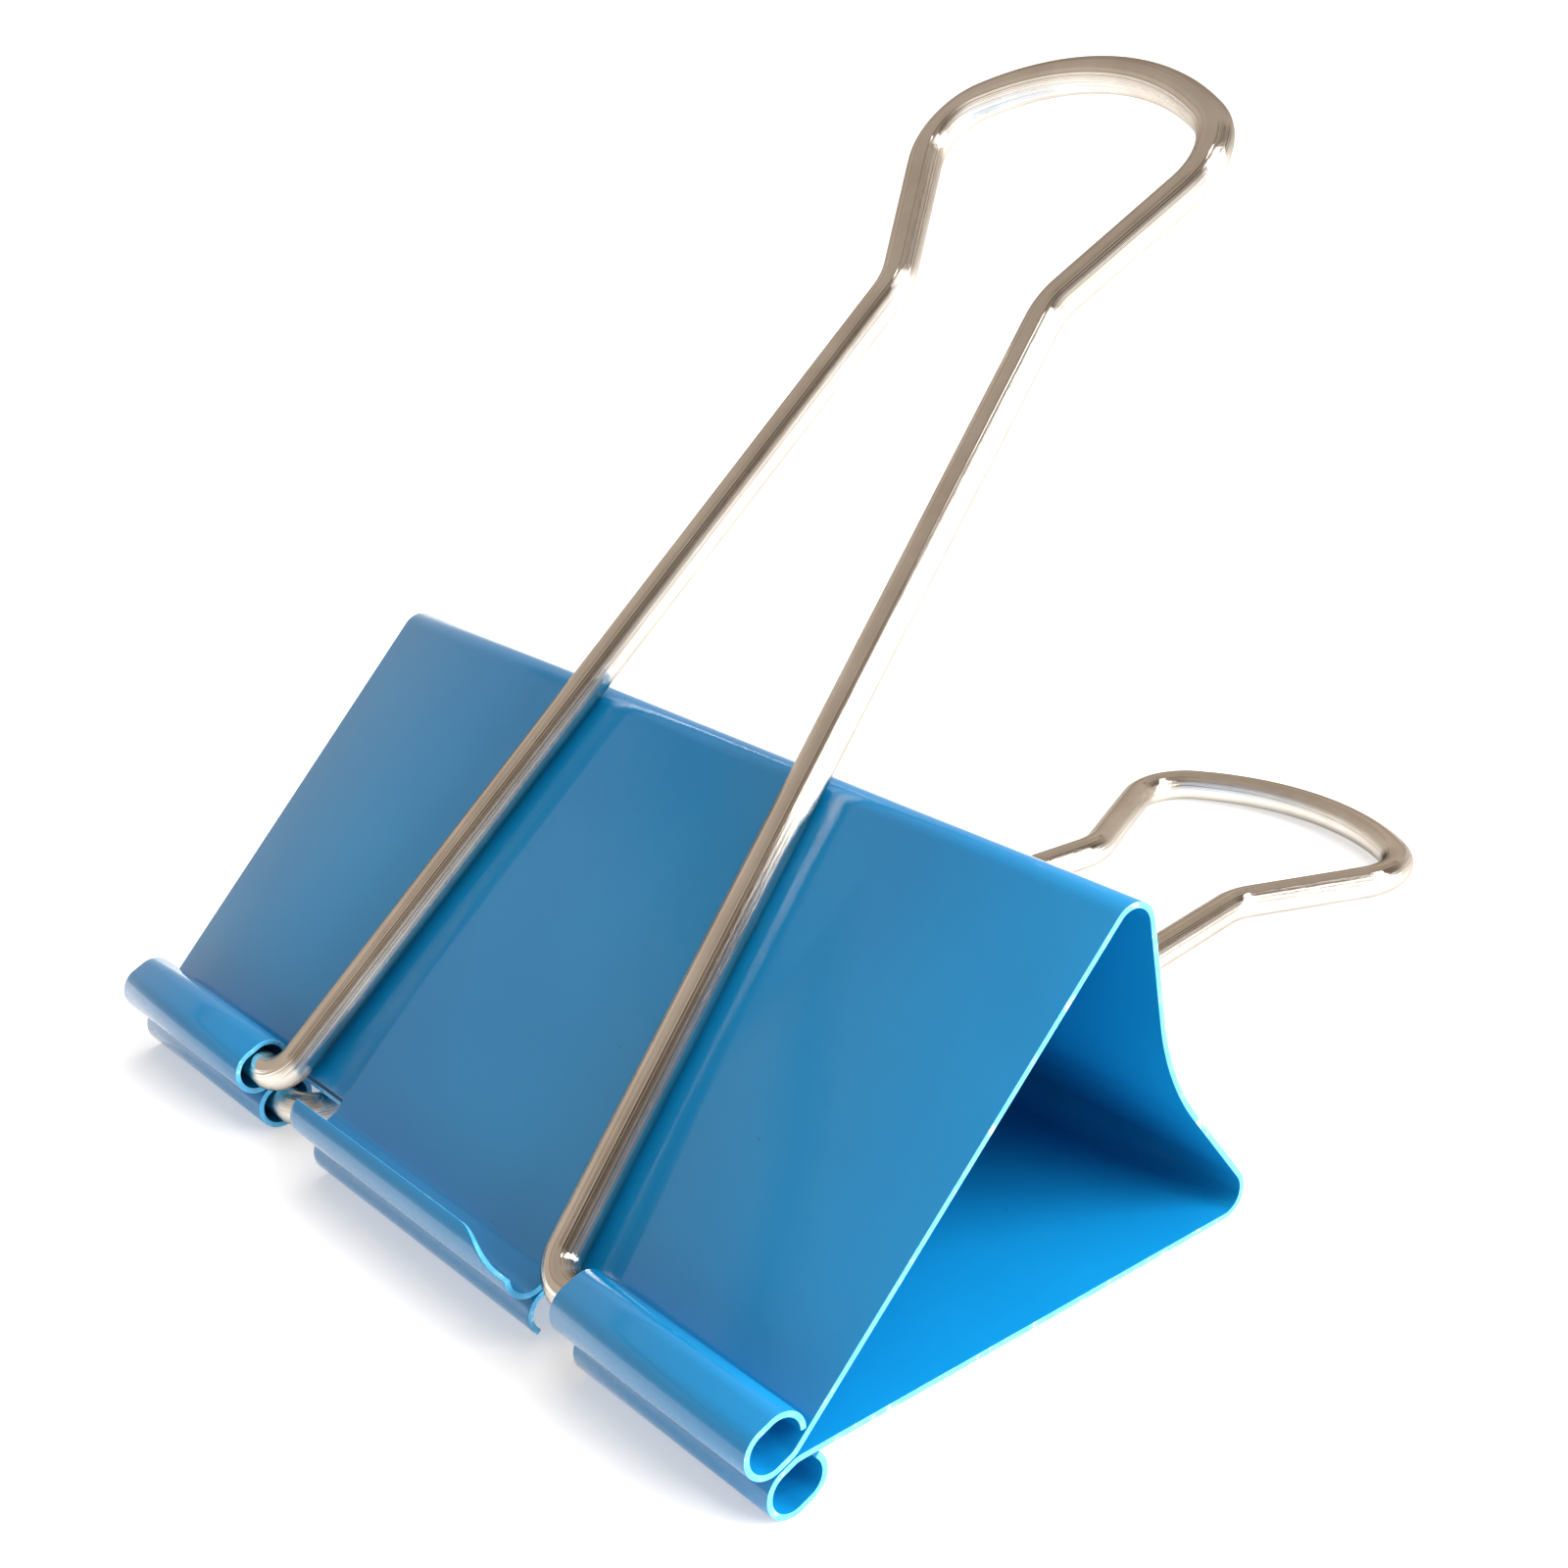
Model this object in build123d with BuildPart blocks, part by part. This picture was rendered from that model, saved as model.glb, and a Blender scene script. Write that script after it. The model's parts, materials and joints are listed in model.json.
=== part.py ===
from build123d import *
import os
from math import acos, asin, atan2, cos, degrees, hypot, radians, sin

# Large binder clip, made of a folded spring-steel sheet and two wire handles.
#
# Units are millimetres.  X runs along the clip's width, Y runs from the jaw back
# to the spine, and Z points up.  The clip lies on its back handle, with the jaw
# towards -Y, and the origin is at the bottom centre of its bounding box.
#
# The sheet is one strip of steel on the real clip.  Here it is two nodes, the
# front jaw and the back jaw, that meet in the middle of the spine, because the
# spine is what flexes when the clip is squeezed open.
#
# The clip's own section is drawn in (u, v): u is the depth from the jaw line to
# the spine, and v is the distance out from the clip's middle plane.

os.makedirs("parts", exist_ok=True)

# ---------------------------------------------------------------- sheet body
clip_width = 51.0            # the clip's nominal size, along the jaw
sheet_thickness = 0.28       # spring steel with its paint
plate_half_angle = 21.4      # degrees from the middle plane to a closed jaw plate
plate_depth = 22.2           # jaw line to the centres of the spine's bends
spine_bend_radius = 1.2      # outside radius where a plate turns into the spine
spine_dip = 1.5              # how far the middle of the spine is drawn inwards
spine_hollow_radius = 11.0   # outside radius of the hollow in the spine's middle
split_gap = 0.01             # between the two jaws, in the middle of the spine
jaw_gap = 0.06               # between the closed jaws' curls

# --------------------------------------------------------------- wire handle
wire_diameter = 1.7
arm_spread = 11.25           # half the distance between the arms at the jaw
neck_spread = 5.05           # half the distance between the arms at the neck
neck_reach = 47.2            # jaw to neck, along the handle
shoulder_spread = 9.4        # half the head's width, at the shoulders' corners
shoulder_reach = 56.1        # jaw to the shoulders' corners
head_reach = 59.7            # jaw to the top of the arched head
pivot_bend_radius = 1.6      # centre-line radius where an arm turns to its pivot
neck_radius = 3.0            # centre-line radius at the neck
shoulder_radius = 3.0        # centre-line radius at the shoulders
pivot_length = 8.0           # how far a pivot end reaches out from its arm
rest_gap = 0.03              # between a folded handle and the spine's bend

# --------------------------------------------------------------- jaw's curls
curl_clearance = 0.05        # radial, between a pivot end and its curl
curl_stretch = 0.6           # flat run that makes a curl oval, along the depth
curl_end_gap = 0.05          # between a curl's free edge and the plate
curl_setback = 1.95          # from an arm's centre line out to its end curl
notch_height = 0.6           # plate cut away at a notch, above its curl
lip_setback = 3.35           # from the -X arm's centre line in to the centre lip
lip_arm_gap = 0.35           # between the centre lip's end and the +X arm
lip_sweep = 188.0            # degrees that the centre lip turns from the plate
lip_step_sweep = 140.0       # degrees left where the lip is cut back
lip_step_length = 2.35       # the cut-back end of the centre lip

# ------------------------------------------------------------- derived sizes
half_width = clip_width / 2
wire_radius = wire_diameter / 2
curl_radius = wire_radius + curl_clearance + sheet_thickness
curl_offset = curl_radius + jaw_gap / 2
curl_inner_end = arm_spread + curl_setback
lip_start = lip_setback - arm_spread
lip_end = arm_spread - wire_radius - lip_arm_gap
lip_step_start = lip_end - lip_step_length

slope = radians(plate_half_angle)
along = Vector(cos(slope), sin(slope))       # from the jaw up the front plate
outward = Vector(-sin(slope), cos(slope))    # square to it, away from the middle

# A curl is two half circles and two flat runs, with the handle's pivot in its
# middle.  The plate's inner face is tangent to the half circle on the plate's
# side and runs to the bend, whose centre lies at the plate's depth.
curl_near = Vector(curl_stretch / 2, curl_offset)
curl_far = Vector(-curl_stretch / 2, curl_offset)
curl_start = curl_near - outward * curl_radius
plate_start = curl_start + along * notch_height
inner_bend_radius = spine_bend_radius - sheet_thickness
bend_line = curl_start - outward * inner_bend_radius
bend_centre = bend_line + along * ((plate_depth - bend_line.X) / along.X)
plate_end = bend_centre + outward * inner_bend_radius

# The spine is a hollow arc between two flat flanks, each tangent to the arc and
# to its bend.
spine_middle = plate_depth + spine_bend_radius - spine_dip
dip_centre = Vector(spine_middle + spine_hollow_radius, 0)
dip_reach = (dip_centre - bend_centre).length
flank_lean = acos((spine_hollow_radius + spine_bend_radius) / dip_reach)
dip_angle = degrees(atan2(bend_centre.Y, dip_centre.X - bend_centre.X) - flank_lean)

# A curl's first turn brings the plate's direction level; its free edge stops
# short of the plate.
level_sweep = plate_half_angle
round_sweep = level_sweep + 180
curl_end_angle = degrees(acos((curl_radius - sheet_thickness - curl_end_gap) / curl_radius))
curl_sweep = 360 - curl_end_angle

# A folded handle leans on the outside of the spine's bend.
bend_rise = bend_centre.Y - curl_offset
lean_distance = spine_bend_radius + wire_radius + rest_gap
handle_angle = atan2(bend_rise, plate_depth) + asin(lean_distance / hypot(bend_rise, plate_depth))

# The head is one shallow arc over both shoulders.
head_rise = head_reach - shoulder_reach
arch_radius = (shoulder_spread**2 + head_rise**2) / (2 * head_rise)

# The clip lies on its back curl and on the head of its back handle.
half_stretch = curl_stretch / 2
rest_reach = head_reach + half_stretch * cos(handle_angle)
rest_rise = half_stretch * sin(handle_angle)
head_drop = atan2(rest_rise, rest_reach) + asin((curl_radius - wire_radius) / hypot(rest_reach, rest_rise))
lean = handle_angle - head_drop
jaw_front = 2 * curl_offset * sin(lean) + curl_radius + half_stretch * cos(lean)
head_back = head_reach * cos(head_drop) + wire_radius
depth_dir = Vector(0, cos(lean), sin(lean))
thick_dir = Vector(0, -sin(lean), cos(lean))
back_pivot = Vector(0, (jaw_front - head_back) / 2, curl_radius + half_stretch * sin(lean))
jaw_middle = back_pivot + thick_dir * curl_offset


def section_plane(x):
    """The plane of the clip's section at x: local X is u and local Y is v."""
    origin = jaw_middle + Vector(x, 0, 0)
    return Plane(origin=origin, x_dir=depth_dir, z_dir=(1, 0, 0))


def handle_plane(side):
    """The plane of a folded handle: local X is the width, local Y its reach."""
    reach_dir = depth_dir * cos(handle_angle) + thick_dir * (side * sin(handle_angle))
    origin = jaw_middle + thick_dir * (side * curl_offset)
    return Plane(origin=origin, x_dir=(1, 0, 0), z_dir=Vector(1, 0, 0).cross(reach_dir))


def plate_face(inset):
    """One face of the half spine and plate, inset from the face inside the clip."""
    radius = spine_hollow_radius + sheet_thickness - inset
    skipped = degrees(asin(split_gap / 2 / radius))
    hollow = CenterArc(dip_centre, radius, 180 - skipped, skipped - dip_angle)
    bend_turn = 90 + plate_half_angle + dip_angle
    bend = CenterArc(bend_centre, inner_bend_radius + inset, -dip_angle, bend_turn)
    Line(hollow @ 1, bend @ 0)
    plate = Line(plate_end + outward * inset, plate_start + outward * inset)
    return hollow @ 0, plate @ 1


def curl_face(inset, sweep):
    """One face of the rolled edge below the plate, inset as for plate_face."""
    radius = curl_radius - inset
    plate = Line(plate_start + outward * inset, curl_start + outward * inset)
    level = CenterArc(curl_near, radius, plate_half_angle - 90, -level_sweep)
    turn = min(sweep, round_sweep) - level_sweep
    rolled = CenterArc(curl_far, radius, -90, -turn)
    Line(level @ 1, rolled @ 0)
    if sweep <= round_sweep:
        return plate @ 0, rolled @ 1
    closing = CenterArc(curl_near, radius, 90, round_sweep - sweep)
    Line(rolled @ 1, closing @ 0)
    return plate @ 0, closing @ 1


def strip_face(plane, face, *sweep):
    """The sheet's own thickness between its two faces, drawn on a section plane."""
    with BuildSketch(plane) as strip:
        with BuildLine():
            inner_start, inner_end = face(0, *sweep)
            outer_start, outer_end = face(sheet_thickness, *sweep)
            Line(inner_start, outer_start)
            Line(inner_end, outer_end)
        make_face()
    return strip.sketch


def jaw():
    """The front half of the folded sheet, with its curls and its centre lip."""
    rolls = [
        (-half_width, -curl_inner_end, curl_sweep),
        (lip_start, lip_step_start, lip_sweep),
        (lip_step_start, lip_end, lip_step_sweep),
        (curl_inner_end, half_width, curl_sweep),
    ]
    with BuildPart() as half:
        extrude(strip_face(section_plane(-half_width), plate_face), amount=clip_width)
        for start, end, sweep in rolls:
            extrude(strip_face(section_plane(start), curl_face, sweep), amount=end - start)
    return half.part


def bent_wire():
    """A handle's wire lying flat, its pivots on X and its head towards +Y."""
    bends = [
        (Vector(arm_spread, 0), pivot_bend_radius),
        (Vector(neck_spread, neck_reach), neck_radius),
        (Vector(shoulder_spread, shoulder_reach), shoulder_radius),
    ]
    corners = [corner for corner, _ in bends]
    with BuildPart() as wire:
        with BuildLine() as path:
            Polyline((arm_spread + pivot_length, 0), *corners)
            RadiusArc(corners[-1], (0, head_reach), -arch_radius)
            for corner, radius in bends:
                fillet(path.vertices().sort_by_distance(corner)[0], radius)
            mirror(about=Plane.YZ)
        with BuildSketch(Plane(origin=path.line @ 0, z_dir=path.line % 0)):
            Circle(wire_radius)
        sweep()
    return wire.part


with BuildPart() as front_jaw:
    add(jaw())

front_jaw.part.label = "front_jaw"
export_step(front_jaw.part, "parts/front_jaw.step")

with BuildPart() as back_jaw:
    mirror(front_jaw.part, about=Plane(origin=jaw_middle, z_dir=thick_dir))

back_jaw.part.label = "back_jaw"
export_step(back_jaw.part, "parts/back_jaw.step")

with BuildPart() as front_handle:
    add(bent_wire().moved(handle_plane(1).location))

front_handle.part.label = "front_handle"
export_step(front_handle.part, "parts/front_handle.step")

with BuildPart() as back_handle:
    add(bent_wire().moved(handle_plane(-1).location))

back_handle.part.label = "back_handle"
export_step(back_handle.part, "parts/back_handle.step")
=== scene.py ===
import json
import math

import bmesh
import bpy
from mathutils import Matrix, Vector


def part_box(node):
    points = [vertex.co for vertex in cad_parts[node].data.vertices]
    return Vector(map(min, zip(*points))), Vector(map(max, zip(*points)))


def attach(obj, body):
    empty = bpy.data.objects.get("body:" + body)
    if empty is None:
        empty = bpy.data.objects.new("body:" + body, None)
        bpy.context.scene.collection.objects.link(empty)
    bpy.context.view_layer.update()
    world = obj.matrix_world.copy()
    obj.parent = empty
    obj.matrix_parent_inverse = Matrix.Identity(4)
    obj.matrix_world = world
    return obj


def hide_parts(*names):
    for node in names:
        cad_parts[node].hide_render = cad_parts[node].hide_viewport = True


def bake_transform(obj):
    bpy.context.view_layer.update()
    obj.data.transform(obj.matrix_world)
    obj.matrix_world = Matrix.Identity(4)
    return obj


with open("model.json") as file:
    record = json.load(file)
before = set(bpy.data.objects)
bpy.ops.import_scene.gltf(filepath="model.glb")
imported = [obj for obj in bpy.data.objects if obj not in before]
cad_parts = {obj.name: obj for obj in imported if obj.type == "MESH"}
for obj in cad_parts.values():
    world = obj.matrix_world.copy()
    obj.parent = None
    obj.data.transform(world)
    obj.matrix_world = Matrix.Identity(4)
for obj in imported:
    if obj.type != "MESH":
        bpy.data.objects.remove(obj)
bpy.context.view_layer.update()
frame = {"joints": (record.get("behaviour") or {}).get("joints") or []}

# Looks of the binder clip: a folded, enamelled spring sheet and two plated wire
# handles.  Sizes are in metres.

MM = 0.001
TOUCHING = 1e-6
WELDED = 1e-7

# ----------------------------------------------------- sizes of folded sheet
SHEET = 0.28 * MM
PLATE_ANGLE = math.radians(21.4)
PLATE_DEPTH = 22.2 * MM
BEND_RADIUS = 1.2 * MM
SPINE_HOLLOW_RADIUS = 11.0 * MM
CURL_RADIUS = 1.18 * MM
CURL_STRETCH = 0.6 * MM
CURL_END_GAP = 0.05 * MM
CURL_SETBACK = 1.95 * MM
NOTCH_HEIGHT = 0.6 * MM
LIP_SETBACK = 3.35 * MM
LIP_ARM_GAP = 0.35 * MM
LIP_SWEEP = math.radians(188)
LIP_STEP_SWEEP = math.radians(136)
LIP_STEP_LENGTH = 2.35 * MM
LIP_STEP_SPREAD = 3.0 * MM
EDGE_ROUNDING = 0.045 * MM

# ------------------------------------------------------ sizes of wire handle
WIRE_RADIUS = 0.85 * MM
ARM_SPREAD = 11.25 * MM
NECK_SPREAD = 5.05 * MM
NECK_REACH = 47.2 * MM
SHOULDER_SPREAD = 9.4 * MM
SHOULDER_REACH = 56.1 * MM
HEAD_REACH = 59.7 * MM
PIVOT_BEND_RADIUS = 1.6 * MM
NECK_RADIUS = 3.0 * MM
SHOULDER_RADIUS = 3.0 * MM
PIVOT_LENGTH = 8.0 * MM
REST_GAP = 0.03 * MM
END_ROUNDING = 0.15 * MM

# ------------------------------------------------------ places from the frame
pivots = {joint["name"]: Vector(joint["pos_m"]) for joint in frame["joints"]}
front_pivot = pivots["front_handle_hinge"]
back_pivot = pivots["back_handle_hinge"]
jaw_middle = (front_pivot + back_pivot) / 2
curl_offset = (front_pivot - back_pivot).length / 2
spine_depth = (pivots["jaw_flex"] - jaw_middle).length
half_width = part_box("front_jaw")[1].x

# The clip's own axes: width along X, depth from the jaw to the spine, and
# thickness from the back jaw to the front jaw.
width_dir = Vector((1, 0, 0))
thick_dir = (front_pivot - back_pivot).normalized()
depth_dir = thick_dir.cross(width_dir)


def own_place(origin, x_dir, y_dir):
    """The matrix that carries a piece from its own axes to its place."""
    turn = Matrix((x_dir, y_dir, x_dir.cross(y_dir))).transposed().to_4x4()
    return Matrix.Translation(origin) @ turn


# ------------------------------------------------------------ modelling tools
def select_only(piece):
    """Leaves one piece selected and active."""
    bpy.ops.object.select_all(action="DESELECT")
    piece.select_set(True)
    bpy.context.view_layer.objects.active = piece


def pick(piece, test):
    """In edit mode, selects the vertices that pass a test, and what lies between them."""
    bpy.ops.mesh.select_mode(type="VERT")
    bpy.ops.mesh.select_all(action="DESELECT")
    mesh = bmesh.from_edit_mesh(piece.data)
    for vert in mesh.verts:
        vert.select_set(test(vert.co))
    mesh.select_flush(True)
    bmesh.update_edit_mesh(piece.data)


def spin(angle, steps, centre, axis=(1, 0, 0)):
    """Sweeps the selection round a centre, anticlockwise about the axis."""
    bpy.ops.mesh.spin(steps=steps, angle=-angle, center=centre, axis=axis)


def run(step):
    """Extrudes the selection straight by a step."""
    bpy.ops.mesh.extrude_region_move(TRANSFORM_OT_translate={"value": step})


def weld(piece):
    """Merges doubled vertices and turns the faces to agree."""
    select_only(piece)
    bpy.ops.object.mode_set(mode="EDIT")
    bpy.ops.mesh.select_all(action="SELECT")
    bpy.ops.mesh.remove_doubles(threshold=WELDED)
    bpy.ops.mesh.select_all(action="SELECT")
    bpy.ops.mesh.normals_make_consistent(inside=False)
    bpy.ops.object.mode_set(mode="OBJECT")


def apply_modifier(piece, kind, **settings):
    """Adds a modifier with its settings and applies it at once."""
    modifier = piece.modifiers.new(kind.title(), kind)
    for name, value in settings.items():
        setattr(modifier, name, value)
    select_only(piece)
    bpy.ops.object.modifier_apply(modifier=modifier.name)


def put_in_place(piece, matrix):
    """Carries a piece to its place and writes that place into its mesh."""
    piece.matrix_world = matrix
    select_only(piece)
    bpy.ops.object.transform_apply(location=True, rotation=True, scale=True)


def near(a, b):
    return abs(a - b) < TOUCHING


# --------------------------------------------------------------- folded sheet
# The sheet's section is drawn in the clip's own axes: y is the depth and z the
# thickness.  Its lines are the face of the sheet that looks inside the clip.
along = Vector((0, math.cos(PLATE_ANGLE), math.sin(PLATE_ANGLE)))
outward = Vector((0, -math.sin(PLATE_ANGLE), math.cos(PLATE_ANGLE)))
curl_near = Vector((0, CURL_STRETCH / 2, curl_offset))
curl_far = Vector((0, -CURL_STRETCH / 2, curl_offset))
curl_start = curl_near - outward * CURL_RADIUS
plate_start = curl_start + along * NOTCH_HEIGHT
inner_bend = BEND_RADIUS - SHEET
bend_line = curl_start - outward * inner_bend
bend_centre = bend_line + along * ((PLATE_DEPTH - bend_line.y) / along.y)
plate_end = bend_centre + outward * inner_bend
plate_middle = (plate_start + plate_end) / 2

hollow_centre = Vector((0, spine_depth + SPINE_HOLLOW_RADIUS, 0))
hollow_reach = (hollow_centre - bend_centre).length
arcs_reach = SPINE_HOLLOW_RADIUS + BEND_RADIUS
flank_length = math.sqrt(hollow_reach**2 - arcs_reach**2)
flank_lean = math.acos(arcs_reach / hollow_reach)
hollow_angle = math.atan2(bend_centre.z, hollow_centre.y - bend_centre.y) - flank_lean
flank = Vector((0, -math.sin(hollow_angle), -math.cos(hollow_angle))) * flank_length

curl_end = math.acos((CURL_RADIUS - SHEET - CURL_END_GAP) / CURL_RADIUS)
curl_sweep = 2 * math.pi - curl_end
curl_inner_end = ARM_SPREAD + CURL_SETBACK
lip_start = LIP_SETBACK - ARM_SPREAD
lip_end = ARM_SPREAD - WIRE_RADIUS - LIP_ARM_GAP
lip_step = lip_end - LIP_STEP_LENGTH

BEND_STEPS = 12
HOLLOW_STEPS = 20
LEVEL_STEPS = 5
ROLL_STEPS = 24
LIP_COLUMNS = 64
SHEET_SHARP = math.radians(50)
SHEET_SMOOTH = math.radians(32)


def across(point):
    """The matching point of the back jaw."""
    return Vector((point.x, point.y, -point.z))


def fold_plates():
    """The front plate, the spine and the back plate as one folded surface."""
    plate_length = (plate_end - plate_start).length
    bpy.ops.object.select_all(action="DESELECT")
    bpy.ops.mesh.primitive_plane_add(size=1, location=plate_middle, rotation=(PLATE_ANGLE, 0, 0))
    sheet = bpy.context.object
    sheet.scale = (2 * half_width, plate_length, 1)
    bpy.ops.object.transform_apply(location=True, rotation=True, scale=True)
    bpy.ops.object.mode_set(mode="EDIT")
    lip_column = (lip_end - lip_start) / LIP_COLUMNS
    cuts = [-curl_inner_end, curl_inner_end]
    cuts += [lip_start + lip_column * i for i in range(LIP_COLUMNS + 1)]
    for x in cuts:
        bpy.ops.mesh.select_all(action="SELECT")
        bpy.ops.mesh.bisect(plane_co=(x, 0, 0), plane_no=(1, 0, 0))

    pick(sheet, lambda co: near(co.y, plate_end.y))
    bend_turn = math.pi / 2 + PLATE_ANGLE + hollow_angle
    spin(-bend_turn, BEND_STEPS, bend_centre)
    # each flank is made in two halves, because the sheet is parted between them
    for _ in range(2):
        run(flank / 2)
    spin(2 * hollow_angle, HOLLOW_STEPS, hollow_centre)
    back_flank = Vector((0, -flank.y, flank.z))
    for _ in range(2):
        run(back_flank / 2)
    spin(-bend_turn, BEND_STEPS, across(bend_centre))
    run(across(plate_start) - across(plate_end))
    return sheet


def roll_edge(sheet, side):
    """Rolls the two end curls and the centre lip of one jaw: side is 1 in front, -1 behind."""

    def mirrored(point):
        return Vector((point.x, point.y, side * point.z))

    def edge_between(low, high):
        start = mirrored(plate_start)

        def test(co):
            within = low - TOUCHING < co.x < high + TOUCHING
            return within and near(co.y, start.y) and near(co.z, start.z)

        return test

    rolls = [
        (-half_width, -curl_inner_end, curl_sweep),
        (curl_inner_end, half_width, curl_sweep),
        (lip_start, lip_end, LIP_SWEEP),
    ]
    back_run = Vector((0, CURL_STRETCH, 0))
    half_turn = PLATE_ANGLE + math.pi
    for low, high, sweep in rolls:
        pick(sheet, edge_between(low, high))
        run(mirrored(curl_start - plate_start))
        spin(-side * PLATE_ANGLE, LEVEL_STEPS, mirrored(curl_near))
        run(-back_run)
        spin(-side * (min(sweep, half_turn) - PLATE_ANGLE), ROLL_STEPS, mirrored(curl_far))
        if sweep > half_turn:
            run(back_run)
            spin(-side * (sweep - half_turn), ROLL_STEPS, mirrored(curl_near))


def cut_back_lip(sheet):
    """Draws the lip's free edge down in a smooth step near its +X end."""
    full = LIP_SWEEP - PLATE_ANGLE
    short = LIP_STEP_SWEEP - PLATE_ANGLE
    mesh = bmesh.from_edit_mesh(sheet.data)
    for vert in mesh.verts:
        side = 1 if vert.co.z > 0 else -1
        y = vert.co.y - curl_far.y
        z = side * vert.co.z - curl_far.z
        on_roll = near(math.hypot(y, z), CURL_RADIUS) and y <= 0
        if on_roll and lip_start - TOUCHING < vert.co.x < lip_end + TOUCHING:
            t = (vert.co.x - lip_step) / LIP_STEP_SPREAD + 0.5
            t = min(max(t, 0), 1)
            share = 1 + (short / full - 1) * t * t * (3 - 2 * t)
            angle = math.atan2(-y, -z) * share
            vert.co.y = curl_far.y - CURL_RADIUS * math.sin(angle)
            vert.co.z = side * (curl_far.z - CURL_RADIUS * math.cos(angle))
    bmesh.update_edit_mesh(sheet.data)
    bpy.ops.object.mode_set(mode="OBJECT")


def thicken_sheet(sheet):
    """Gives the surface the sheet's thickness and softens its cut edges."""
    weld(sheet)
    faces = sheet.data.polygons
    plate_face = min(faces, key=lambda face: (face.center - plate_middle).length)
    if plate_face.normal.dot(outward) < 0:
        sheet.data.flip_normals()
    apply_modifier(
        sheet,
        "SOLIDIFY",
        thickness=SHEET,
        offset=1,
        use_even_offset=True,
        material_offset_rim=1,
    )
    apply_modifier(
        sheet,
        "BEVEL",
        width=EDGE_ROUNDING,
        segments=2,
        limit_method="ANGLE",
        angle_limit=SHEET_SHARP,
    )
    weld(sheet)


def part_at_spine(sheet):
    """Parts the sheet across both flanks into its front, its spine and its back."""
    half_flank = bend_centre.z - BEND_RADIUS * math.sin(hollow_angle) + flank.z / 2
    bpy.ops.object.mode_set(mode="EDIT")
    bpy.ops.mesh.select_mode(type="FACE")
    parts = [sheet]
    tests = (
        lambda co: co.y > PLATE_DEPTH - 2 * BEND_RADIUS and abs(co.z) < half_flank,
        lambda co: co.z < 0,
    )
    for test in tests:
        bpy.ops.mesh.select_all(action="DESELECT")
        mesh = bmesh.from_edit_mesh(sheet.data)
        for face in mesh.faces:
            face.select_set(test(face.calc_center_median()))
        bmesh.update_edit_mesh(sheet.data)
        bpy.ops.mesh.separate(type="SELECTED")
        parts += [piece for piece in bpy.context.selected_objects if piece not in parts]
    bpy.ops.object.mode_set(mode="OBJECT")
    for piece in parts:
        select_only(piece)
        bpy.ops.object.mode_set(mode="EDIT")
        bpy.ops.mesh.select_mode(type="EDGE")
        bpy.ops.mesh.select_all(action="DESELECT")
        bpy.ops.mesh.select_non_manifold()
        bpy.ops.mesh.fill_holes(sides=0)
        bpy.ops.mesh.select_all(action="SELECT")
        bpy.ops.mesh.normals_make_consistent(inside=False)
        bpy.ops.object.mode_set(mode="OBJECT")
        bpy.ops.object.shade_smooth_by_angle(angle=SHEET_SMOOTH)
    return parts, half_flank


# ---------------------------------------------------------------- wire handle
WIRE_SIDES = 40
ARCH_STEPS = 32
SHOULDER_STEPS = 20
STRAIGHT_STEPS = 6
CORNER_STEPS = 18
WIRE_SHARP = math.radians(60)
WIRE_SMOOTH = math.radians(45)


def corner_bend(before, corner, after, radius):
    """Start, end, centre and turn of a bend round a path's corner, in the XY plane."""
    into = (corner - before).normalized()
    out = (after - corner).normalized()
    turn = into.angle(out)
    reach = radius * math.tan(turn / 2)
    side = 1 if into.cross(out).z > 0 else -1
    start = corner - into * reach
    centre = start + Vector((-into.y, into.x, 0)) * (side * radius)
    return start, corner + out * reach, centre, side * turn


def shoulder_bend(arch_centre, arch_radius, shoulder, neck):
    """Centre and end of the bend that joins the head's arch to the flare below it."""
    flare = (neck - shoulder).normalized()
    inward = Vector((flare.y, -flare.x, 0))
    foot = shoulder + inward * SHOULDER_RADIUS - arch_centre
    along_flare = foot.dot(flare)
    reach = arch_radius - SHOULDER_RADIUS
    slide = -along_flare - math.sqrt(along_flare**2 - foot.length_squared + reach**2)
    centre = arch_centre + foot + flare * slide
    return centre, centre - inward * SHOULDER_RADIUS, inward


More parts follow.
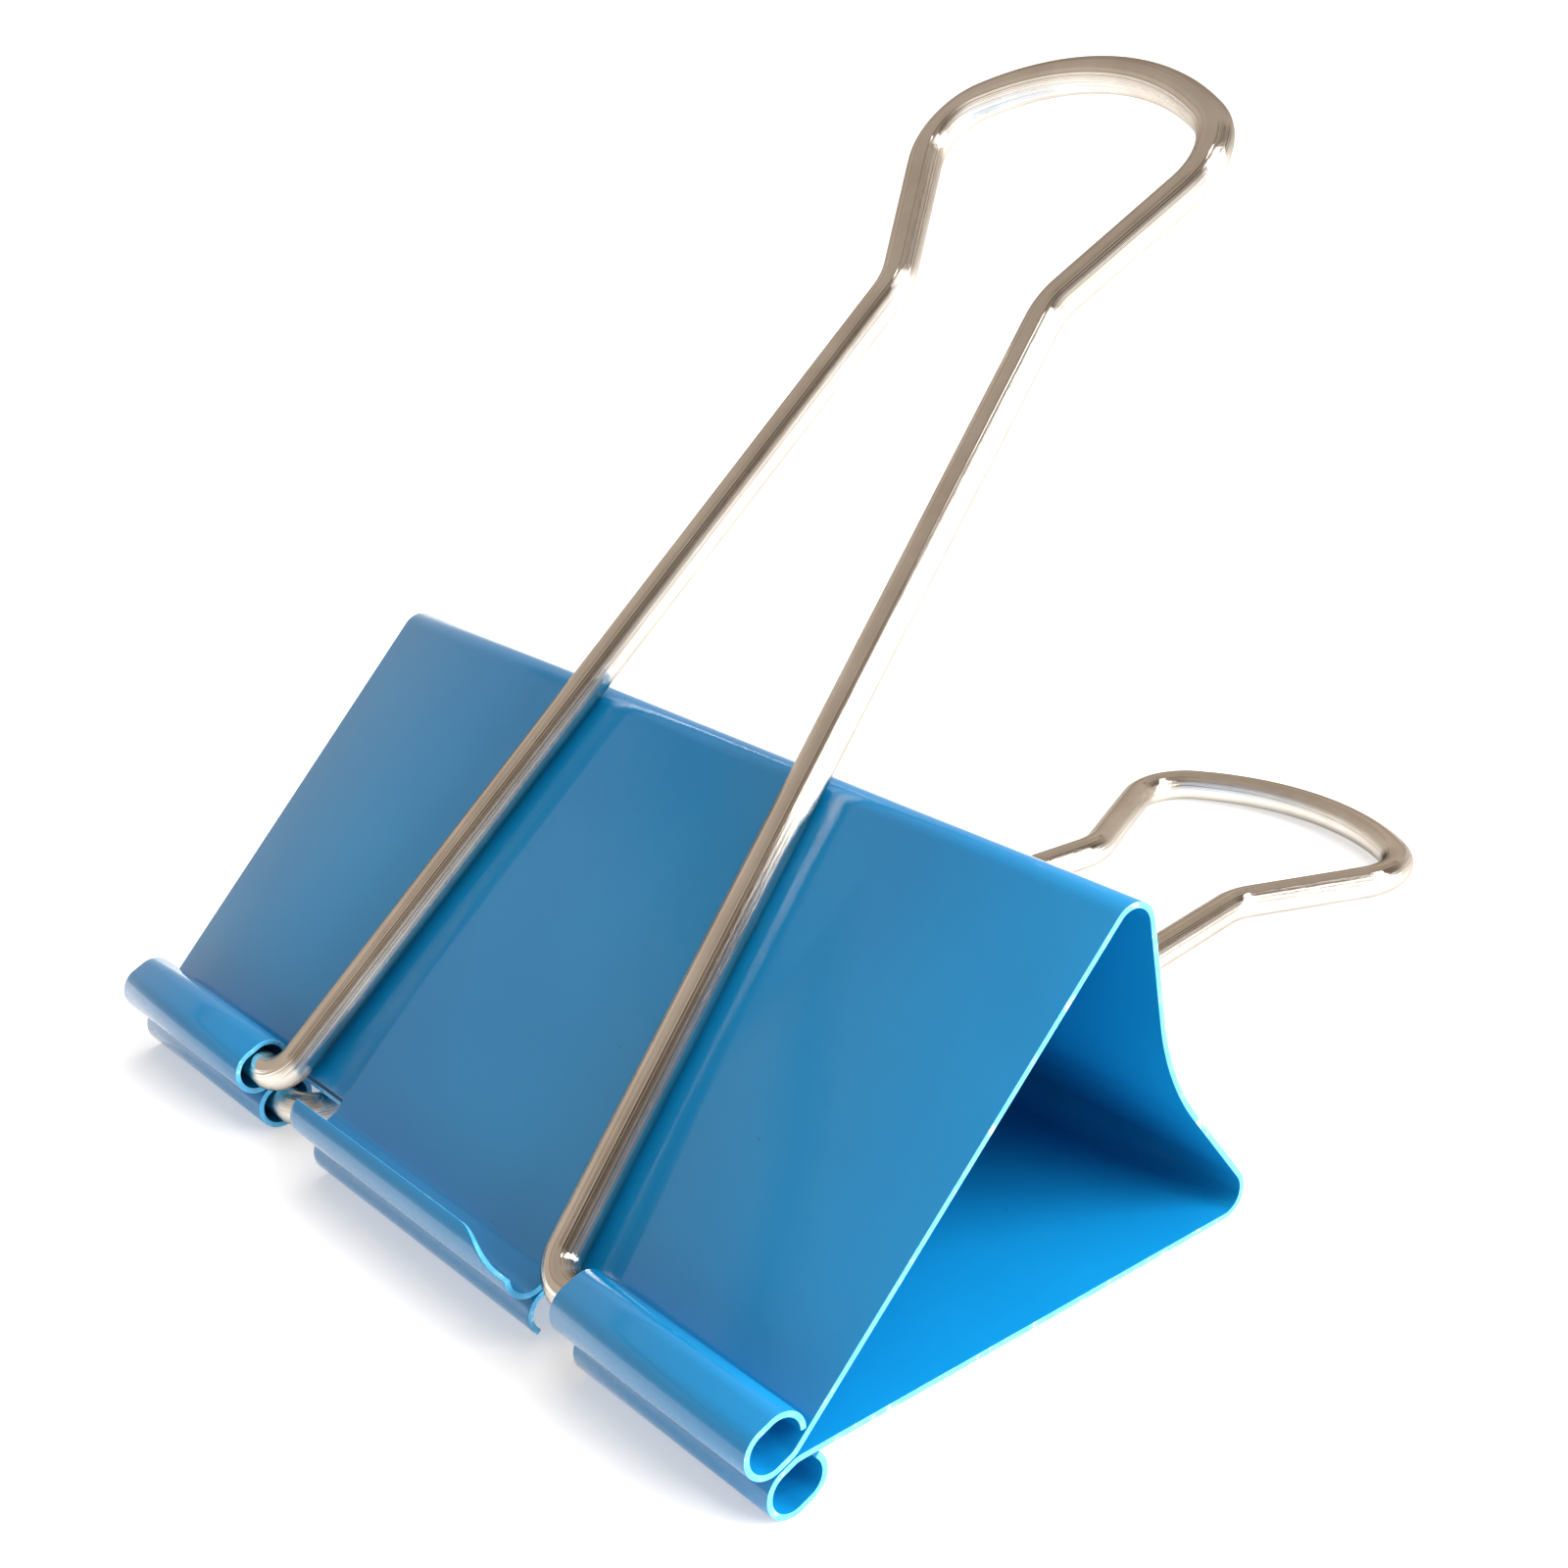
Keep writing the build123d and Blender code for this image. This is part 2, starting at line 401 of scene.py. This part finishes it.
def bend_wire():
    """A handle lying flat: its pivots on X, its head towards +Y."""
    arch_rise = HEAD_REACH - SHOULDER_REACH
    arch_radius = (SHOULDER_SPREAD**2 + arch_rise**2) / (2 * arch_rise)
    arch_centre = Vector((0, HEAD_REACH - arch_radius, 0))
    shoulder = Vector((SHOULDER_SPREAD, SHOULDER_REACH, 0))
    neck = Vector((NECK_SPREAD, NECK_REACH, 0))
    base = Vector((ARM_SPREAD, 0, 0))
    end = Vector((ARM_SPREAD + PIVOT_LENGTH, 0, 0))
    z_axis = (0, 0, 1)

    bpy.ops.object.select_all(action="DESELECT")
    bpy.ops.mesh.primitive_circle_add(
        vertices=WIRE_SIDES,
        radius=WIRE_RADIUS,
        location=(0, HEAD_REACH, 0),
        rotation=(0, math.pi / 2, 0),
    )
    wire = bpy.context.object
    bpy.ops.object.transform_apply(location=True, rotation=True, scale=True)
    bpy.ops.object.mode_set(mode="EDIT")
    bpy.ops.mesh.select_all(action="SELECT")

    centre, flare_start, inward = shoulder_bend(arch_centre, arch_radius, shoulder, neck)
    arch_dir = (centre - arch_centre).normalized()
    arch_turn = math.atan2(arch_dir.x, arch_dir.y)
    spin(-arch_turn, ARCH_STEPS, arch_centre, z_axis)
    spin(-arch_dir.angle(-inward), SHOULDER_STEPS, centre, z_axis)
    here = flare_start
    corners = ((shoulder, neck, base, NECK_RADIUS), (neck, base, end, PIVOT_BEND_RADIUS))
    for before, corner, after, radius in corners:
        start, finish, centre, turn = corner_bend(before, corner, after, radius)
        straight = (start - here) / STRAIGHT_STEPS
        for _ in range(STRAIGHT_STEPS):
            run(straight)
        spin(turn, CORNER_STEPS, centre, z_axis)
        here = finish
    run(end - here)
    bpy.ops.mesh.edge_face_add()
    bpy.ops.object.mode_set(mode="OBJECT")
    apply_modifier(wire, "MIRROR", use_axis=(True, False, False), merge_threshold=TOUCHING)
    weld(wire)
    apply_modifier(
        wire,
        "BEVEL",
        width=END_ROUNDING,
        segments=3,
        limit_method="ANGLE",
        angle_limit=WIRE_SHARP,
    )
    select_only(wire)
    bpy.ops.object.shade_smooth_by_angle(angle=WIRE_SMOOTH)
    level = wire.data.attributes.new("level", "FLOAT", "POINT")
    level.data.foreach_set("value", [v.co.z / WIRE_RADIUS for v in wire.data.vertices])
    return wire


# ------------------------------------------------------------------ materials
def colour_ramp(tree, source, *stops):
    """Turns a number into a colour, by (number, colour) stops; a plain number is a grey."""
    node = tree.nodes.new("ShaderNodeValToRGB")
    steps = node.color_ramp.elements
    while len(steps) < len(stops):
        steps.new(0.5)
    for step, (place, colour) in zip(steps, stops):
        step.position = place
        step.color = (*colour, 1) if isinstance(colour, tuple) else (colour, colour, colour, 1)
    tree.links.new(source, node.inputs["Fac"])
    return node.outputs["Color"]


def colour_mix(tree, share, below, above):
    """Lays one colour over another by a share from 0 to 1; the upper may be a plain colour."""
    node = tree.nodes.new("ShaderNodeMix")
    node.data_type = "RGBA"
    tree.links.new(share, node.inputs["Factor"])
    tree.links.new(below, node.inputs["A"])
    if isinstance(above, tuple):
        node.inputs["B"].default_value = (*above, 1)
    else:
        tree.links.new(above, node.inputs["B"])
    return node.outputs["Result"]


DUST_SCALE = 420


class Finish:
    """A material under construction, with short names for what every finish needs."""

    def __init__(self, name):
        self.material = bpy.data.materials.new(name)
        self.material.use_nodes = True
        self.tree = self.material.node_tree
        self.nodes = self.tree.nodes
        self.links = self.tree.links
        self.shader = self.nodes["Principled BSDF"]
        self.object_point = self.nodes.new("ShaderNodeTexCoord").outputs["Object"]
        self.last_bump = None

    def set(self, **values):
        """Sets the shader's plain inputs, with underscores for the spaces in their names."""
        for name, value in values.items():
            self.shader.inputs[name.replace("_", " ")].default_value = value

    def drive(self, name, source):
        """Links one of the shader's inputs to a source."""
        self.links.new(source, self.shader.inputs[name])

    def noise(self, scale, detail=3.0, roughness=0.5):
        node = self.nodes.new("ShaderNodeTexNoise")
        node.inputs["Scale"].default_value = scale
        node.inputs["Detail"].default_value = detail
        node.inputs["Roughness"].default_value = roughness
        self.links.new(self.object_point, node.inputs["Vector"])
        return node.outputs["Fac"]

    def ramp(self, source, *stops):
        return colour_ramp(self.tree, source, *stops)

    def bump(self, height, distance):
        """Raises the surface by a height of 0 to 1, on top of the bumps made before."""
        node = self.nodes.new("ShaderNodeBump")
        node.inputs["Distance"].default_value = distance
        self.links.new(height, node.inputs["Height"])
        if self.last_bump:
            self.links.new(self.last_bump, node.inputs["Normal"])
        self.last_bump = node.outputs["Normal"]
        self.drive("Normal", self.last_bump)

    def specks(self, scale, size):
        """Small round dots, 1 inside and 0 outside, sown over the surface."""
        node = self.nodes.new("ShaderNodeTexVoronoi")
        node.inputs["Scale"].default_value = scale
        self.links.new(self.object_point, node.inputs["Vector"])
        return self.ramp(node.outputs["Distance"], (0.0, 1.0), (size, 0.0))


def sky_blue_enamel():
    """Glossy paint with a slow wave, a fine orange peel and a few specks of dust."""
    finish = Finish("sky_blue_enamel")
    cloudy = finish.ramp(
        finish.noise(70, 2.0),
        (0.3, (0.0030, 0.190, 0.440)),
        (0.7, (0.0050, 0.228, 0.500)),
    )
    dust_grey = (0.02, 0.09, 0.17)
    dust = finish.specks(DUST_SCALE, 0.035)
    finish.drive("Base Color", colour_mix(finish.tree, dust, cloudy, dust_grey))
    finish.drive("Roughness", finish.ramp(finish.noise(160, 4.0), (0.3, 0.07), (0.7, 0.14)))
    finish.set(Coat_Weight=0.5, Coat_Roughness=0.03, IOR=1.5)
    finish.bump(finish.noise(110, 2.0), 0.075 * MM)
    finish.bump(finish.noise(750, 3.0), 0.016 * MM)
    finish.bump(finish.specks(DUST_SCALE, 0.05), 0.010 * MM)
    return finish.material


def cut_edge_with_painted_glints():
    """Thin paint on the sheet's cut edges, lighter than the plates partly from the thin paint and
    partly as a painted highlight, with pale spots that are painted glints.
    """
    finish = Finish("cut_edge_with_painted_glints")
    # painted highlight: the lighter blue stops stand in for light caught on the edges, and the palest
    # stop paints glints
    colour = finish.ramp(
        finish.noise(1500, 3.0, 0.65),
        (0.38, (0.07, 0.42, 0.76)),
        (0.60, (0.12, 0.54, 0.88)),
        (0.74, (0.55, 0.82, 0.95)),
    )
    finish.drive("Base Color", colour)
    finish.drive("Roughness", finish.ramp(finish.noise(800, 3.0), (0.3, 0.28), (0.7, 0.50)))
    finish.set(Coat_Weight=0.25, Coat_Roughness=0.15)
    finish.bump(finish.noise(1800, 3.0), 0.012 * MM)
    return finish.material


def bright_nickel():
    """Bright plating over drawn wire, whose lines run along it, with a little tarnish."""
    finish = Finish("bright_nickel")
    level = finish.nodes.new("ShaderNodeAttribute")
    level.attribute_name = "level"
    draw_lines = finish.nodes.new("ShaderNodeTexNoise")
    draw_lines.noise_dimensions = "1D"
    draw_lines.inputs["Scale"].default_value = 16
    draw_lines.inputs["Detail"].default_value = 4
    finish.links.new(level.outputs["Fac"], draw_lines.inputs["W"])
    tarnish = finish.noise(210, 4.0, 0.6)
    colour = finish.ramp(
        tarnish,
        (0.35, (0.86, 0.82, 0.76)),
        (0.65, (0.74, 0.69, 0.62)),
    )
    finish.drive("Base Color", colour)
    finish.drive("Roughness", finish.ramp(tarnish, (0.35, 0.05), (0.75, 0.12)))
    finish.set(Metallic=1.0, Specular_Tint=(0.42, 0.38, 0.34, 1))
    finish.bump(draw_lines.outputs["Fac"], 0.030 * MM)
    finish.bump(finish.noise(1300, 3.0), 0.0012 * MM)
    return finish.material


# --------------------------------------------------------------------- pieces
sheet = fold_plates()
for jaw_side in (1, -1):
    roll_edge(sheet, jaw_side)
cut_back_lip(sheet)
sheet.data.materials.append(sky_blue_enamel())
sheet.data.materials.append(cut_edge_with_painted_glints())
thicken_sheet(sheet)
put_in_place(sheet, Matrix.Identity(4))
(front_sheet, spine_sheet, back_sheet), half_flank = part_at_spine(sheet)
clip_place = own_place(jaw_middle, width_dir, depth_dir)
for piece, name in (
    (front_sheet, "front_jaw_sheet"),
    (spine_sheet, "spine_sheet"),
    (back_sheet, "back_jaw_sheet"),
):
    piece.name = name
    put_in_place(piece, clip_place)
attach(front_sheet, "front_jaw")
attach(back_sheet, "back_jaw")
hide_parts("front_jaw")
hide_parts("back_jaw")
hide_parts("front_jaw", "back_jaw")
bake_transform(spine_sheet)

bend_rise = bend_centre.z - curl_offset
bend_gap = BEND_RADIUS + WIRE_RADIUS + REST_GAP
handle_angle = math.atan2(bend_rise, PLATE_DEPTH)
handle_angle += math.asin(bend_gap / math.hypot(bend_rise, PLATE_DEPTH))
nickel = bright_nickel()
for handle_side, handle, pivot in ((1, "front_handle", front_pivot), (-1, "back_handle", back_pivot)):
    wire = bend_wire()
    wire.name = f"{handle}_wire"
    wire.data.materials.append(nickel)
    lift = thick_dir * (handle_side * math.sin(handle_angle))
    put_in_place(wire, own_place(pivot, width_dir, depth_dir * math.cos(handle_angle) + lift))
    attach(wire, handle)
    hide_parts(handle)

# ---------------------------------------------------------------------- stage
FLOOR_SIZE = 6
bpy.ops.object.select_all(action="DESELECT")
bpy.ops.mesh.primitive_plane_add(size=FLOOR_SIZE, location=(0, 0, 0))
floor = bpy.context.object
floor.name = "floor"
paper = Finish("pale_floor")
paper.set(Base_Color=(0.80, 0.80, 0.80, 1), Roughness=0.9)
paper.set(Emission_Color=(1, 1, 1, 1), Emission_Strength=0.42)
floor.data.materials.append(paper.material)

# The room is drawn by height: a bright horizon under warm walls.  The wall on
# the +X side has a broad dark band, which the bent wires mirror as a long line.
world = bpy.data.worlds.new("soft_room")
bpy.context.scene.world = world
world.use_nodes = True
room = world.node_tree
sight = room.nodes.new("ShaderNodeTexCoord")
split = room.nodes.new("ShaderNodeSeparateXYZ")
room.links.new(sight.outputs["Generated"], split.inputs["Vector"])
pale_wall = colour_ramp(
    room,
    split.outputs["Z"],
    (0.00, (0.95, 0.94, 0.92)),
    (0.12, (0.70, 0.63, 0.56)),
    (0.22, (0.58, 0.49, 0.41)),
    (0.55, (0.60, 0.51, 0.43)),
    (0.60, (0.30, 0.23, 0.18)),
    (0.64, (0.52, 0.44, 0.37)),
    (0.80, (0.44, 0.37, 0.31)),
)
dark_wall = colour_ramp(
    room,
    split.outputs["Z"],
    (0.00, (0.80, 0.76, 0.72)),
    (0.10, (0.52, 0.44, 0.37)),
    (0.42, (0.40, 0.32, 0.26)),
    (0.47, (0.030, 0.018, 0.012)),
    (0.78, (0.050, 0.032, 0.022)),
    (0.83, (0.42, 0.35, 0.29)),
    (0.90, (0.44, 0.37, 0.31)),
)
towards_x = colour_ramp(room, split.outputs["X"], (0.10, 0.0), (0.24, 1.0))
walls = colour_mix(room, towards_x, pale_wall, dark_wall)
room.links.new(walls, room.nodes["Background"].inputs["Color"])


def aim(lamp, direction):
    """Turns a lamp so that its light comes from a direction; returns that direction."""
    towards = Vector(direction).normalized()
    lamp.rotation_euler = towards.to_track_quat("Z", "Y").to_euler()
    return towards


def add_lamp(name, kind, energy):
    light = bpy.data.lights.new(name, kind)
    light.energy = energy
    lamp = bpy.data.objects.new(name, light)
    bpy.context.scene.collection.objects.link(lamp)
    return lamp


# Three upright strips light the clip from +X, past the front plate and into the
# triangle.  Only the middle one is mirrored, as one thin line.
STRIP_DISTANCE = 0.5
for number, (azimuth, height) in enumerate(((8, 0.22), (24, 0.36), (42, 0.40)), start=1):
    strip = add_lamp(f"strip_light_{number}", "AREA", 2.2)
    strip.data.shape = "RECTANGLE"
    strip.data.size = 0.10
    strip.data.size_y = 0.42
    level_x = math.cos(math.radians(azimuth))
    level_y = math.sin(math.radians(azimuth))
    strip.location = aim(strip, (level_x, level_y, height)) * STRIP_DISTANCE
    strip.visible_glossy = number == 2
skylight = add_lamp("skylight", "SUN", 2.6)
skylight.data.color = (0.97, 0.98, 1.0)
skylight.data.angle = math.radians(80)
aim(skylight, (0.18, 0.45, 0.88))
skylight.visible_glossy = False

# --------------------------------------------------------------------- camera
VIEW_AZIMUTH = math.radians(54.448)
VIEW_ELEVATION = math.radians(25.283)
VIEW_ROLL = math.radians(5.119)
VIEW_PLACE = Vector((80.719, -70.279, 58.316)) * MM
view = bpy.data.cameras.new("studio_camera")
view.sensor_width = 36
view.lens = 54.73
view.shift_x = 0.05
view.shift_y = 0.0625
view.clip_start = 0.005
camera = bpy.data.objects.new("studio_camera", view)
bpy.context.scene.collection.objects.link(camera)
turn = Matrix.Rotation(VIEW_AZIMUTH, 4, "Z") @ Matrix.Rotation(math.pi / 2 - VIEW_ELEVATION, 4, "X")
place = Matrix.Translation(VIEW_PLACE)
camera.matrix_world = place @ turn @ Matrix.Rotation(-VIEW_ROLL, 4, "Z")
bpy.context.scene.camera = camera
bpy.context.scene.view_settings.view_transform = "Standard"
